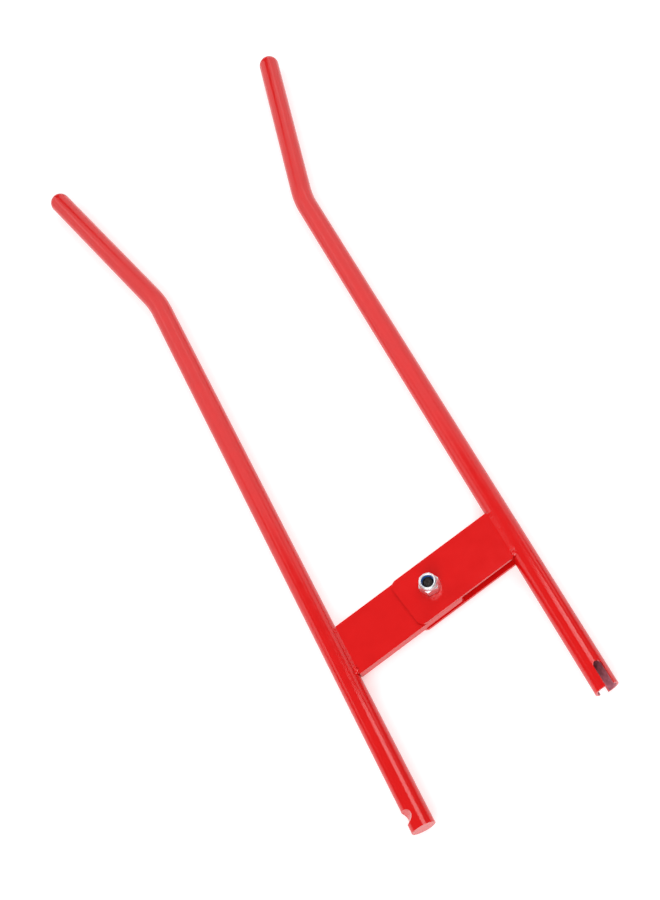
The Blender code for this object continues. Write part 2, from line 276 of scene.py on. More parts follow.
class ClampColours(bpy.types.PropertyGroup):
    """The finishes' own colours."""

    powder_coat: FloatVectorProperty(
        name="Powder coat",
        description="Red polyester powder coat",
        subtype="COLOR",
        size=4,
        default=linear("#DE1313"),
    )
    overspray: FloatVectorProperty(
        name="Bore overspray",
        description="Thin coat inside the open tube",
        subtype="COLOR",
        size=4,
        default=linear("#CC7C8A"),
    )
    zinc: FloatVectorProperty(
        name="Zinc plate",
        description="Bright zinc on the lock nut",
        subtype="COLOR",
        size=4,
        default=linear("#F6F7F9"),
    )
    black_oxide: FloatVectorProperty(
        name="Black oxide",
        description="Blackened steel of the bolt",
        subtype="COLOR",
        size=4,
        default=linear("#34302F"),
    )
    nylon: FloatVectorProperty(
        name="Nylon",
        description="Blue moulded nylon of the nut's ring",
        subtype="COLOR",
        size=4,
        default=linear("#2F62AE"),
    )
    floor: FloatVectorProperty(
        name="Floor", description="Pale matt floor", subtype="COLOR", size=4, default=linear("#D8D8D8")
    )


class StageSettings(bpy.types.PropertyGroup):
    """Camera, lamps and floor."""

    azimuth: FloatProperty(
        name="Azimuth",
        description="Camera's heading from +Y",
        default=math.radians(0.92),
        subtype="ANGLE",
    )
    elevation: FloatProperty(
        name="Elevation",
        description="Camera's height angle above the floor",
        default=math.radians(60.35),
        subtype="ANGLE",
    )
    roll: FloatProperty(
        name="Roll",
        description="Camera's turn about its own axis",
        default=math.radians(-30.11),
        subtype="ANGLE",
    )
    distance: FloatProperty(
        name="Distance",
        description="From the camera to what it looks at",
        default=1.2434,
        unit="LENGTH",
    )
    look_at: FloatVectorProperty(
        name="Look at",
        description="What the camera looks at, from the bolt",
        subtype="TRANSLATION",
        size=3,
        default=(-0.0191, 0.1767, 0.0),
    )
    lens: FloatProperty(
        name="Lens", description="Focal length on a 36 mm sensor", default=51.67, min=10.0
    )
    floor_size: FloatProperty(
        name="Floor size", description="Width of the floor", default=40.0, unit="LENGTH"
    )
    floor_glow: FloatProperty(
        name="Floor glow", description="Light that the floor gives from below", default=0.75, min=0.0
    )
    surround: FloatProperty(
        name="Surround", description="Light that the plain surroundings give", default=0.18, min=0.0
    )
    backdrop: FloatProperty(
        name="Backdrop",
        description="Brightness of the surroundings where they are seen",
        default=0.9,
        min=0.0,
    )


# ---------------------------------------------------------------- shapes


def settings():
    return bpy.context.scene.clamp_sizes


def new_object(name, mesh):
    obj = bpy.data.objects.new(name, mesh)
    bpy.context.scene.collection.objects.link(obj)
    return obj


def mesh_of(obj):
    """The mesh of an object as its modifiers leave it."""
    bpy.context.view_layer.update()
    graph = bpy.context.evaluated_depsgraph_get()
    return bpy.data.meshes.new_from_object(obj.evaluated_get(graph))


def curve_to_mesh(curve):
    """Replaces a curve object by a mesh object whose caps are welded to its sides."""
    mesh = mesh_of(curve)
    shape = bmesh.new()
    shape.from_mesh(mesh)
    bmesh.ops.remove_doubles(shape, verts=shape.verts, dist=1e-6)
    bmesh.ops.recalc_face_normals(shape, faces=shape.faces)
    shape.to_mesh(mesh)
    shape.free()
    name = curve.name
    bpy.data.objects.remove(curve)
    return new_object(name, mesh)


def round_bar(name, path, radius, sides):
    data = bpy.data.curves.new(name, "CURVE")
    data.dimensions = "3D"
    data.bevel_depth = radius
    data.bevel_resolution = sides // 4 - 1
    data.use_fill_caps = True
    spline = data.splines.new("POLY")
    spline.points.add(len(path) - 1)
    for point, place in zip(spline.points, path):
        point.co = (*place, 1.0)
    return curve_to_mesh(new_object(name, data))


def flat_piece(name, outlines, low, high):
    """A flat piece from height low to height high. The outlines after the first are holes."""
    data = bpy.data.curves.new(name, "CURVE")
    data.dimensions = "2D"
    data.fill_mode = "BOTH"
    data.extrude = (high - low) / 2
    for outline in outlines:
        spline = data.splines.new("POLY")
        spline.points.add(len(outline) - 1)
        for point, (x, y) in zip(spline.points, outline):
            point.co = (x, y, 0.0, 1.0)
        spline.use_cyclic_u = True
    piece = curve_to_mesh(new_object(name, data))
    piece.data.transform(Matrix.Translation((0.0, 0.0, (high + low) / 2)))
    return piece


def turned(name, profile, steps):
    """A piece turned about the bolt's axis. The profile is (radius, height), down its outer side."""
    mesh = bpy.data.meshes.new(name)
    edges = [(i, i + 1) for i in range(len(profile) - 1)]
    if profile[0][0] > 0:
        edges.append((len(profile) - 1, 0))
    mesh.from_pydata([(radius, 0.0, height) for radius, height in profile], edges, [])
    obj = new_object(name, mesh)
    screw = obj.modifiers.new("Turn", "SCREW")
    screw.steps = screw.render_steps = steps
    screw.use_merge_vertices = True
    screw.merge_threshold = 1e-5
    obj.data = mesh_of(obj)
    obj.modifiers.clear()
    return obj


def cut(obj, cutter, operation="DIFFERENCE"):
    """Applies a Boolean to obj and removes the cutter."""
    modifier = obj.modifiers.new("Cut", "BOOLEAN")
    modifier.operation = operation
    modifier.solver = "EXACT"
    modifier.object = cutter
    obj.data = mesh_of(obj)
    obj.modifiers.clear()
    bpy.data.objects.remove(cutter)
    if not obj.data.polygons:
        raise RuntimeError(f"{obj.name} has nothing left after its cut")


def round_edges(obj, width, segments=2, angle=35):
    """Rounds the sharp edges, cleans what the cuts left behind, and shades the rest smooth."""
    shape = bmesh.new()
    shape.from_mesh(obj.data)
    bmesh.ops.remove_doubles(shape, verts=shape.verts, dist=2e-6)
    bmesh.ops.dissolve_degenerate(shape, dist=2e-6, edges=shape.edges)
    shape.to_mesh(obj.data)
    shape.free()
    bevel = obj.modifiers.new("Rounded edges", "BEVEL")
    bevel.width = width
    bevel.segments = segments
    bevel.limit_method = "ANGLE"
    bevel.angle_limit = math.radians(angle)
    bevel.harden_normals = True
    obj.data.shade_smooth()


def shade(obj, kind):
    """Shades smooth, except across edges that are sharper than the kind of surface shows."""
    obj.data.shade_smooth()
    obj.data.set_sharp_from_angle(angle=math.radians(SHARP[kind]))


def quarter(steps):
    """Angles from 0 to a right angle."""
    return [math.pi / 2 * i / steps for i in range(steps + 1)]


def arc(centre, radius, start, end, steps):
    """Points on an arc, from the angle start to the angle end."""
    for i in range(steps + 1):
        angle = start + (end - start) * i / steps
        yield (centre[0] + radius * math.cos(angle), centre[1] + radius * math.sin(angle))


# ---------------------------------------------------------------- places, from the frame


class Lever:
    """Where a lever's centre line runs."""

    def __init__(self, side):
        name = SIDE_NAME[side]
        tube_low, tube_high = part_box(f"{name}_lever_tube")
        cap_low, cap_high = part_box(f"{name}_handle_cap")
        self.side = side
        self.radius = (cap_high.z - cap_low.z) / 2
        self.height = (cap_high.z + cap_low.z) / 2
        self.x = tube_low.x + self.radius if side == RIGHT else tube_high.x - self.radius
        self.jaw_y = tube_low.y
        tip_x = cap_high.x - self.radius if side == RIGHT else cap_low.x + self.radius
        self.tip = Vector((tip_x, cap_high.y - self.radius, self.height))
        self.splay = settings().handle_splay
        self.bend_y = self.tip.y - abs(self.tip.x - self.x) / math.tan(self.splay)
        self.handle_way = Vector((side * math.sin(self.splay), math.cos(self.splay), 0.0))

    def path(self, past_jaw=0.0, past_tip=0.0, steps=14):
        """The centre line from the jaw end, round the bend, to the middle of the domed tip."""
        radius = settings().bend_radius
        start_y = self.bend_y - radius * math.tan(self.splay / 2)
        points = [Vector((self.x, self.jaw_y - past_jaw, self.height))]
        for i in range(steps + 1):
            turn = self.splay * i / steps
            across = self.x + self.side * radius * (1 - math.cos(turn))
            points.append(Vector((across, start_y + radius * math.sin(turn), self.height)))
        points.append(self.tip + past_tip * self.handle_way)
        return points


# ---------------------------------------------------------------- materials


def add_node(material, kind, sockets=None, **settings_of):
    """Adds a node to a material or a world. A socket's value is a constant, or an output to link to it."""
    node = material.node_tree.nodes.new(kind)
    for name, value in settings_of.items():
        setattr(node, name, value)
    for name, value in (sockets or {}).items():
        if isinstance(value, bpy.types.NodeSocket):
            material.node_tree.links.new(value, node.inputs[name])
        else:
            node.inputs[name].default_value = value
    return node


def new_material(name):
    material = bpy.data.materials.new(name)
    material.use_nodes = True
    material.node_tree.nodes.clear()
    return material


def output(material, shader):
    add_node(material, "ShaderNodeOutputMaterial", {"Surface": shader.outputs[0]})
    return material


def per_mm(size_mm):
    """The pattern scale, in repeats a metre, of a feature that is size_mm across."""
    return 1.0 / (size_mm * MM)


def gloss_powder_coat():
    """Polyester powder baked on steel: a deep even red, with orange peel's shallow dimples in its gloss."""
    colours = bpy.context.scene.clamp_colours
    material = new_material("red_polyester_powder_coat")
    place = add_node(material, "ShaderNodeTexCoord").outputs["Object"]
    mottle = add_node(material, "ShaderNodeTexNoise", {"Vector": place, "Scale": per_mm(14), "Detail": 3.0})
    tone = add_node(material, "ShaderNodeValToRGB", {"Fac": mottle.outputs["Fac"]})
    base = colours.powder_coat
    tone.color_ramp.elements[0].position = 0.3
    tone.color_ramp.elements[0].color = [c * 0.97 for c in base[:3]] + [1.0]
    tone.color_ramp.elements[1].position = 0.7
    tone.color_ramp.elements[1].color = [min(1.0, c * 1.02) for c in base[:3]] + [1.0]
    peel = add_node(material, "ShaderNodeTexNoise", {"Vector": place, "Scale": per_mm(2.2), "Detail": 2.0})
    bump = add_node(
        material, "ShaderNodeBump", {"Height": peel.outputs["Fac"], "Strength": 0.05, "Distance": 0.0003}
    )
    gloss = add_node(
        material,
        "ShaderNodeMapRange",
        {"Value": mottle.outputs["Fac"], "From Min": 0.3, "From Max": 0.7, "To Min": 0.12, "To Max": 0.16},
    )
    shader = add_node(
        material,
        "ShaderNodeBsdfPrincipled",
        {
            "Base Color": tone.outputs["Color"],
            "Roughness": gloss.outputs["Result"],
            "IOR": 1.5,
            "Normal": bump.outputs["Normal"],
        },
    )
    return output(material, shader)


def bore_overspray():
    """The bore of the open tube: a thin blotchy coat, paler and duller than the outside."""
    colours = bpy.context.scene.clamp_colours
    material = new_material("oversprayed_tube_bore")
    place = add_node(material, "ShaderNodeTexCoord").outputs["Object"]
    blotch = add_node(material, "ShaderNodeTexNoise", {"Vector": place, "Scale": per_mm(3), "Detail": 4.0})
    tone = add_node(material, "ShaderNodeValToRGB", {"Fac": blotch.outputs["Fac"]})
    tone.color_ramp.elements[0].position = 0.35
    tone.color_ramp.elements[0].color = linear("#A45F6C")
    tone.color_ramp.elements[1].position = 0.7
    tone.color_ramp.elements[1].color = colours.overspray
    shader = add_node(
        material,
        "ShaderNodeBsdfPrincipled",
        {"Base Color": tone.outputs["Color"], "Roughness": 0.5, "IOR": 1.5},
    )
    return output(material, shader)


def bright_zinc():
    """Electroplated zinc on a machined nut: a bright, faintly clouded metal with a fine satin grain."""
    colours = bpy.context.scene.clamp_colours
    material = new_material("bright_zinc_plated_steel")
    place = add_node(material, "ShaderNodeTexCoord").outputs["Object"]
    cloud = add_node(material, "ShaderNodeTexNoise", {"Vector": place, "Scale": per_mm(4), "Detail": 4.0})
    tone = add_node(material, "ShaderNodeValToRGB", {"Fac": cloud.outputs["Fac"]})
    tone.color_ramp.elements[0].position = 0.3
    tone.color_ramp.elements[0].color = linear("#E4E6EA")
    tone.color_ramp.elements[1].position = 0.7
    tone.color_ramp.elements[1].color = colours.zinc
    grain = add_node(material, "ShaderNodeTexNoise", {"Vector": place, "Scale": per_mm(0.5), "Detail": 2.0})
    bump = add_node(
        material, "ShaderNodeBump", {"Height": grain.outputs["Fac"], "Strength": 0.15, "Distance": 0.0001}
    )
    shader = add_node(
        material,
        "ShaderNodeBsdfPrincipled",
        {
            "Base Color": tone.outputs["Color"],
            "Metallic": 1.0,
            "Roughness": 0.42,
            "Normal": bump.outputs["Normal"],
        },
    )
    return output(material, shader)


def black_oxide():
    """Oil-blackened steel of the bolt: near black, with a dull metallic sheen and paler rubbed patches."""
    colours = bpy.context.scene.clamp_colours
    material = new_material("black_oxide_steel")
    place = add_node(material, "ShaderNodeTexCoord").outputs["Object"]
    rub = add_node(material, "ShaderNodeTexNoise", {"Vector": place, "Scale": per_mm(1.5), "Detail": 3.0})
    tone = add_node(material, "ShaderNodeValToRGB", {"Fac": rub.outputs["Fac"]})
    tone.color_ramp.elements[0].position = 0.45
    tone.color_ramp.elements[0].color = colours.black_oxide
    tone.color_ramp.elements[1].position = 0.8
    tone.color_ramp.elements[1].color = linear("#5A5654")
    shader = add_node(
        material,
        "ShaderNodeBsdfPrincipled",
        {"Base Color": tone.outputs["Color"], "Metallic": 1.0, "Roughness": 0.38},
    )
    return output(material, shader)


def moulded_nylon():
    """Dyed nylon, moulded and then cut by the thread: a waxy blue."""
    colours = bpy.context.scene.clamp_colours
    material = new_material("blue_moulded_nylon")
    place = add_node(material, "ShaderNodeTexCoord").outputs["Object"]
    flow = add_node(material, "ShaderNodeTexNoise", {"Vector": place, "Scale": per_mm(2), "Detail": 2.0})
    tone = add_node(material, "ShaderNodeValToRGB", {"Fac": flow.outputs["Fac"]})
    tone.color_ramp.elements[0].color = [c * 0.8 for c in colours.nylon[:3]] + [1.0]
    tone.color_ramp.elements[1].color = colours.nylon
    shader = add_node(
        material,
        "ShaderNodeBsdfPrincipled",
        {"Base Color": tone.outputs["Color"], "Roughness": 0.35, "IOR": 1.53},
    )
    return output(material, shader)


def matt_floor():
    """Seamless studio floor: plain, pale and matt."""
    colours = bpy.context.scene.clamp_colours
    material = new_material("matt_studio_floor")
    shader = add_node(
        material,
        "ShaderNodeBsdfPrincipled",
        {
            "Base Color": colours.floor,
            "Roughness": 0.9,
            "Specular IOR Level": 0.1,
            "Emission Color": colours.floor,
            "Emission Strength": bpy.context.scene.clamp_stage.floor_glow,
        },
    )
    return output(material, shader)


FINISHES = {
    "red_powder_coat": gloss_powder_coat,
    "zinc_plated_steel": bright_zinc,
    "black_steel": black_oxide,
    "blue_nylon": moulded_nylon,
    "bore": bore_overspray,
    "floor": matt_floor,
}
made_finishes = {}


def finish_of(name):
    if name not in made_finishes:
        made_finishes[name] = FINISHES[name]()
    return made_finishes[name]


def place_piece(obj, body, slot, *nodes):
    """Gives a finished piece its material and its body, and hides the frame nodes that it stands for."""
    if not obj.data.materials:
        obj.data.materials.append(finish_of(slot))
    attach(obj, body)
    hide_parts(*nodes)
    return obj


# ---------------------------------------------------------------- the pieces


def paint_bore(obj, lever, inner_radius):
    """Gives the faces of the bore their own finish."""
    obj.data.materials.append(finish_of("red_powder_coat"))
    obj.data.materials.append(finish_of("bore"))
    middle = Vector((lever.x, lever.height))
    for face in obj.data.polygons:
        across = Vector((face.center.x, face.center.z)) - middle
        before_bend = face.center.y < lever.bend_y - BORE_BEFORE_BEND
        in_bore = across.length < inner_radius + BORE_MARGIN
        if before_bend and in_bore and abs(face.normal.y) < END_FACING:
            inward = across.x * face.normal.x + across.y * face.normal.z
            face.material_index = 1 if inward < 0 else 0


def lever_tube(lever):
    sizes = settings()
    name = SIDE_NAME[lever.side]
    bore = lever.radius - sizes.tube_wall
    tube = round_bar(f"{name}_lever_painted", lever.path(), lever.radius, sizes.sides)
    cut(tube, round_bar("bore", lever.path(THROUGH, THROUGH), bore, sizes.sides))
    return tube, bore


def jaw_slot_cutter(lever):
    half = settings().slot_width / 2
    head_y = lever.jaw_y + settings().slot_depth - half
    outline = [(-half, lever.jaw_y - THROUGH), (half, lever.jaw_y - THROUGH)]
    outline += arc((0.0, head_y), half, 0.0, math.pi, 24)
    return lean_cutter(lever, flat_piece("slot", [outline], -2 * lever.radius, 2 * lever.radius))


def lean_cutter(lever, cutter):
    """Turns a cutter about the lever's centre line."""
    turn = Matrix.Rotation(settings().jaw_lean, 4, "Y")
    cutter.data.transform(Matrix.Translation((lever.x, 0.0, lever.height)) @ turn)
    return cutter


def jaw_notch_cutter(lever):
    sizes = settings()
    centre = (sizes.notch_depth - sizes.notch_radius - lever.radius, lever.jaw_y + sizes.notch_from_end)
    outline = list(arc(centre, sizes.notch_radius, 0.0, math.radians(352.5), 47))
    return lean_cutter(lever, flat_piece("notch", [outline], -2 * lever.radius, 2 * lever.radius))


class CLAMP_OT_build_levers(bpy.types.Operator):
    """Builds the two bent levers with their jaws and domed tips"""

    bl_idname = "clamp.build_levers"
    bl_label = "Levers"

    def execute(self, context):
        for side in (LEFT, RIGHT):
            lever = Lever(side)
            name = SIDE_NAME[side]
            tube, bore = lever_tube(lever)
            if side == RIGHT:
                cut(tube, jaw_slot_cutter(lever))
                paint_bore(tube, lever, bore)
            else:
                cut(tube, jaw_notch_cutter(lever))
                self.build_slug(lever, bore)
            round_edges(tube, settings().painted_edge)
            place_piece(tube, ARM[side], "red_powder_coat", f"{name}_lever_tube")
            self.build_cap(lever, bore)
        return {"FINISHED"}

    def build_slug(self, lever, bore):
        inner_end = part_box("left_jaw_slug")[1].y
        path = [Vector((lever.x, y, lever.height)) for y in (lever.jaw_y, inner_end)]
        slug = round_bar("left_jaw_slug_painted", path, bore, settings().sides)
        cut(slug, jaw_notch_cutter(lever))
        shade(slug, "slug")
        place_piece(slug, ARM[LEFT], "red_powder_coat", "left_jaw_slug")

    def build_cap(self, lever, bore):
        name = SIDE_NAME[lever.side]
        dome = [(lever.radius * math.sin(a), lever.radius * math.cos(a)) for a in quarter(20)]
        profile = dome + [(bore, 0.0), (bore, -CAP_SPIGOT), (0.0, -CAP_SPIGOT)]
        cap = turned(f"{name}_handle_cap_painted", profile, settings().sides)
        turn = Vector((0.0, 0.0, 1.0)).rotation_difference(lever.handle_way).to_matrix().to_4x4()
        cap.data.transform(Matrix.Translation(lever.tip) @ turn)
        shade(cap, "cap")
        place_piece(cap, ARM[lever.side], "red_powder_coat", f"{name}_handle_cap")


def plate_outline(node, root_x, corner):
    """A link plate's outline, from its box: straight along the lever, with a rounded free end."""
    skew = plate_skew()
    towards = 1.0 if root_x < PIVOT.x else -1.0
    along = Vector((math.cos(skew), math.sin(skew))) * towards
    across = Vector((-math.sin(skew), math.cos(skew)))
    width, reach = plate_width_and_reach(node, root_x, corner)
    bolt = PIVOT.xy
    tip = bolt + along * reach
    first = tip - along * corner - across * (width / 2 - corner) * towards
    last = tip - along * corner + across * (width / 2 - corner) * towards
    facing = math.atan2(along.y, along.x)
    half = width / 2 / math.cos(skew)
    root_y = bolt.y + (root_x - bolt.x) * math.tan(skew)
    outline = [(root_x, root_y - towards * half)]
    outline += arc(first, corner, facing - math.pi / 2, facing, 14)
    outline += arc(last, corner, facing, facing + math.pi / 2, 14)
    outline.append((root_x, root_y + towards * half))
    return outline


def plate_skew():
    """The slope of the link plates: the right lever sits further towards the handles than the left one."""
    left, right = Lever(LEFT), Lever(RIGHT)
    return math.atan2(right.jaw_y - left.jaw_y, right.x - left.x)


def plate_width_and_reach(node, root_x, corner):
    """The width of a plate, and how far its free end is from the bolt, from its box.

    The box's height is the slope's rise along the plate, plus the width across it.
    """
    low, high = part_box(node)
    skew = plate_skew()
    free_x = high.x if root_x < PIVOT.x else low.x
    reach = (abs(free_x - PIVOT.x) - corner) / math.cos(skew) + corner
    root_y = PIVOT.y + (root_x - PIVOT.x) * math.tan(skew)
    edge = high.y - root_y if root_x > PIVOT.x else root_y - low.y
    return 2 * edge * math.cos(skew), reach


class CLAMP_OT_build_plates(bpy.types.Operator):
    """Builds the two outer link plates and the centre one"""

    bl_idname = "clamp.build_plates"
    bl_label = "Link plates"

    def execute(self, context):
        sizes = settings()
        left, right = Lever(LEFT), Lever(RIGHT)
        for node, lever, corner in (
            ("upper_link_plate", right, sizes.outer_corner),
            ("lower_link_plate", right, sizes.outer_corner),
            ("centre_link_plate", left, sizes.centre_corner),
        ):
            low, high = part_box(node)
            root_x = high.x if lever.side == RIGHT else low.x
            outline = plate_outline(node, root_x, corner)
            hole = list(arc(PIVOT.xy, PLATE_HOLE, 0.0, math.radians(355), 71))
            plate = flat_piece(f"{node}_painted", [outline, hole], low.z, high.z)
            round_edges(plate, sizes.plate_edge, 3, SHARP["plate"])
            place_piece(plate, ARM[lever.side], "red_powder_coat", node)
        return {"FINISHED"}


def bead_section(lever, node, up):
    """Across a bead: from the lever's side to its foot, along a thin skirt of paint, and back inside."""
    low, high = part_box(node)
    face = abs((low.z if up > 0 else high.z) - lever.height) - GAP
    toe = max(abs(low.x - lever.x), abs(high.x - lever.x))
    climb = math.asin((face + settings().weld_rise) / lever.radius)
    start = Vector((math.cos(climb), math.sin(climb))) * lever.radius
    corner = Vector((start.x + settings().weld_rise * math.tan(climb), face))
    foot = Vector((min(corner.x + BEAD_FOOT, toe - BEAD_FOOT / 2), face + BEAD_SKIRT))
    middle = corner.lerp((start + foot) / 2, BEAD_FULLNESS)
    curve = []
    for i in range(BEAD_STEPS + 1):
        t = i / BEAD_STEPS
        curve.append(start * (1 - t) ** 2 + middle * 2 * t * (1 - t) + foot * t**2)
    root = face - BEAD_SKIRT
    skirt = [Vector((toe, face + BEAD_SKIRT)), Vector((toe, root))]
    return curve, skirt + [Vector((start.x - BEAD_FOOT, root)), start * BEAD_SUNK]


def bead_lumps(chance, length):
    """Lumps of the bead's face: (place along it, share of the way across it, height, width)."""
    lumps = [(0.0, 0.5, 0.0006, 0.0030), (length, 0.5, 0.0004, 0.0020)]
    # How many lumps, how far along, the shares across, and the heights: most of them lie at the start.
    for count, reach, across, heights in (
        (22, 0.007, (0.1, 0.9), (0.0003, 0.0007)),
        (10, length, (0.1, 0.6), (0.00005, 0.00015)),
    ):
        for _ in range(count):
            along = chance.uniform(0.0, reach)
            lumps.append((along, chance.uniform(*across), chance.uniform(*heights), LUMP_WIDTH))
    return lumps


def weld_bead(name, node, lever, up, seed):
    """A painted fillet bead: nearly smooth, faintly rippled, with lumps where it starts and ends."""
    chance = random.Random(seed)
    low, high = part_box(node)
    length = high.y - low.y
    ripple = settings().weld_ripple
    steps = int(length * BEAD_ROWS / ripple)
    lumps = bead_lumps(chance, length)
    curve, back = bead_section(lever, node, up)
    reach = (curve[-1] - curve[0]).length
    outward = (curve[0] + curve[-1]).normalized()
    shape = bmesh.new()
    rings = []
    for i in range(steps + 1):
        along = length * i / steps
        fade = min(1.0, min(along, length - along) / BEAD_FOOT)
        ring = []
        for j, point in enumerate(curve):
            t = j / BEAD_STEPS
            swell = BEAD_RIPPLE * math.cos(2 * math.pi * along / ripple)
            for at, across, height, wide in lumps:
                away = ((along - at) / wide) ** 2 + ((t - across) * reach / wide) ** 2
                swell += height * math.exp(-away)
            ring.append(point + outward * swell * math.sin(math.pi * t) * fade)
        ring += back
        rings.append(
            [
                shape.verts.new((lever.x - lever.side * x, low.y + along, lever.height + up * z))
                for x, z in ring
            ]
        )
    for first, second in zip(rings, rings[1:]):
        for j in range(len(first)):
            k = (j + 1) % len(first)
            shape.faces.new((first[j], first[k], second[k], second[j]))
    shape.faces.new(rings[0])
    shape.faces.new(rings[-1])
    bmesh.ops.recalc_face_normals(shape, faces=shape.faces)
    mesh = bpy.data.meshes.new(name)
    shape.to_mesh(mesh)
    shape.free()
    bead = new_object(name, mesh)
    shade(bead, "bead")
    return bead


class CLAMP_OT_build_welds(bpy.types.Operator):
    """Builds the four painted weld beads"""

    bl_idname = "clamp.build_welds"
    bl_label = "Weld beads"

    def execute(self, context):
        for number, (node, side, up) in enumerate(
            (
                ("upper_plate_weld", RIGHT, 1),
                ("lower_plate_weld", RIGHT, -1),
                ("centre_weld_upper", LEFT, 1),
                ("centre_weld_lower", LEFT, -1),
            )
        ):
            bead = weld_bead(f"{node}_bead", node, Lever(side), up, number)
            place_piece(bead, ARM[side], "red_powder_coat", node)
        return {"FINISHED"}


def hexagon(across_flats, low, high, name):
    corner = across_flats / math.sqrt(3)
    outline = [
        (corner * math.cos(math.radians(60 * i)), corner * math.sin(math.radians(60 * i))) for i in range(6)
    ]
    return flat_piece(name, [outline], low, high)


def threaded_rod(name, radius, low, high, chamfer):
    """A rod whose side follows a helical thread, ending in a chamfer at its top."""
    sizes = settings()
    around, rise = 72, sizes.thread_pitch / 8
    rows = int((high - low) / rise)
    mesh = bpy.data.meshes.new(name)
    shape = bmesh.new()
    rings = []
    for i in range(rows + 1):
        z = low + (high - low) * i / rows
        ring = []
        for j in range(around):
            turn = j / around
            phase = ((z - low) / sizes.thread_pitch - turn) % 1.0
            groove = 1 - abs(2 * phase - 1)
            depth = sizes.thread_depth * min(1.0, max(0.0, groove * 1.25 - 0.125))
            r = min(radius - depth, radius - max(0.0, chamfer - (high - z)))
            angle = 2 * math.pi * turn
            ring.append(shape.verts.new((r * math.cos(angle), r * math.sin(angle), z)))
        rings.append(ring)
    for first, second in zip(rings, rings[1:]):
        for j in range(around):
            k = (j + 1) % around
            shape.faces.new((first[j], first[k], second[k], second[j]))
    shape.faces.new(list(reversed(rings[0])))
    shape.faces.new(rings[-1])
    shape.to_mesh(mesh)
    shape.free()
    return new_object(name, mesh)


def move_to_pivot(obj):
    obj.data.transform(Matrix.Translation((PIVOT.x, PIVOT.y, 0.0)))
    return obj


class CLAMP_OT_build_fasteners(bpy.types.Operator):
    """Builds the pivot bolt, the lock nut and its nylon ring"""

    bl_idname = "clamp.build_fasteners"
    bl_label = "Pivot fasteners"

    def execute(self, context):
        self.build_bolt()
        self.build_nut()
        self.build_ring()
        return {"FINISHED"}

    def build_bolt(self):
        sizes = settings()
        low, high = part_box("pivot_bolt")
        flats = min(high.x - low.x, high.y - low.y)
        corner = flats / math.sqrt(3)
        seat = low.z + sizes.head_height
        head = hexagon(flats, low.z, seat, "pivot_bolt_black")
        past = corner + HEAD_PAST_CORNER
        shape = [(0.0, seat), (past, seat), (past, low.z + HEAD_CHAMFER)]
        shape += [(flats / 2 - HEAD_FLAT, low.z), (0.0, low.z)]
        cut(head, turned("turned_head", shape, TURNING_STEPS), "INTERSECT")
        rod = threaded_rod("rod", sizes.bolt_radius, seat - ROOT_OVERLAP, high.z, BOLT_CHAMFER)
        cut(head, rod, "UNION")
        shade(head, "thread")
        move_to_pivot(head)
        place_piece(head, ARM[RIGHT], "black_steel", "pivot_bolt")

    def build_nut(self):
        low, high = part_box("lock_nut")
        flats = min(high.x - low.x, high.y - low.y)
        past = flats / math.sqrt(3) + NUT_PAST_CORNER
        top, seat = high.z, low.z
        shoulder = seat + NUT_SHOULDER
        nut = hexagon(flats, seat, top, "lock_nut_zinc")
        middle = COLLAR_RADIUS - COLLAR_ROUNDING
        outside = [(0.0, top)]
        outside += [
            (middle + COLLAR_ROUNDING * math.sin(a), top - COLLAR_ROUNDING * (1 - math.cos(a)))
            for a in quarter(10)
        ]
        outside += [(COLLAR_RADIUS, shoulder), (COLLAR_RADIUS + COLLAR_STEP, shoulder - COLLAR_DROP)]
        outside += [(past, seat + NUT_HEXAGON), (past, seat + NUT_CHAMFER)]
        outside += [(flats / 2 - NUT_FLAT, seat), (0.0, seat)]
        cut(nut, turned("turned_nut", outside, TURNING_STEPS), "INTERSECT")
        pocket, floor = insert_outer() + GAP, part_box("nylon_insert")[0].z
        flare, lip_low = LIP_RADIUS + LIP_FLARE, top - LIP_HEIGHT
        inside = [(0.0, top + NUT_OVERRUN), (flare, top + NUT_OVERRUN), (flare, top)]
        inside += [(LIP_RADIUS + LIP_ROUNDING, top - LIP_ROUNDING), (LIP_RADIUS, lip_low)]
        inside += [(pocket, lip_low), (pocket, floor), (BORE_RADIUS, floor)]
        inside += [(BORE_RADIUS, seat - NUT_OVERRUN), (0.0, seat - NUT_OVERRUN)]
        cut(nut, turned("nut_bore", inside, TURNING_STEPS))
        move_to_pivot(nut)
        round_edges(nut, NUT_EDGE, 2, SHARP["nut"])
        place_piece(nut, ARM[RIGHT], "zinc_plated_steel", "lock_nut")

    def build_ring(self):
        low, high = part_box("nylon_insert")
        outer, inner = insert_outer(), BORE_RADIUS
        profile = [(outer - RING_EDGE, high.z), (outer, high.z - RING_EDGE), (outer, low.z), (inner, low.z)]
        profile += [(inner, high.z - RING_LEAD), (inner + RING_FLARE, high.z - RING_EDGE)]
        profile.append((inner + RING_MOUTH, high.z))
        ring = turned("nylon_insert_blue", profile, TURNING_STEPS)
        shade(ring, "ring")
        move_to_pivot(ring)
        place_piece(ring, ARM[RIGHT], "blue_nylon", "nylon_insert")


def insert_outer():
    low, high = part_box("nylon_insert")
    return (high.x - low.x) / 2


# ---------------------------------------------------------------- stage


def aim(obj, target):
    obj.rotation_mode = "QUATERNION"
    obj.rotation_quaternion = (target - obj.location).to_track_quat("-Z", "Y")


def soft_lamp(name, location, size, power, target):
    data = bpy.data.lights.new(name, "AREA")
    data.shape = "RECTANGLE"
    data.size, data.size_y = size
    data.energy = power
    lamp = bpy.data.objects.new(name, data)
    bpy.context.scene.collection.objects.link(lamp)
    lamp.location = location
    aim(lamp, target)


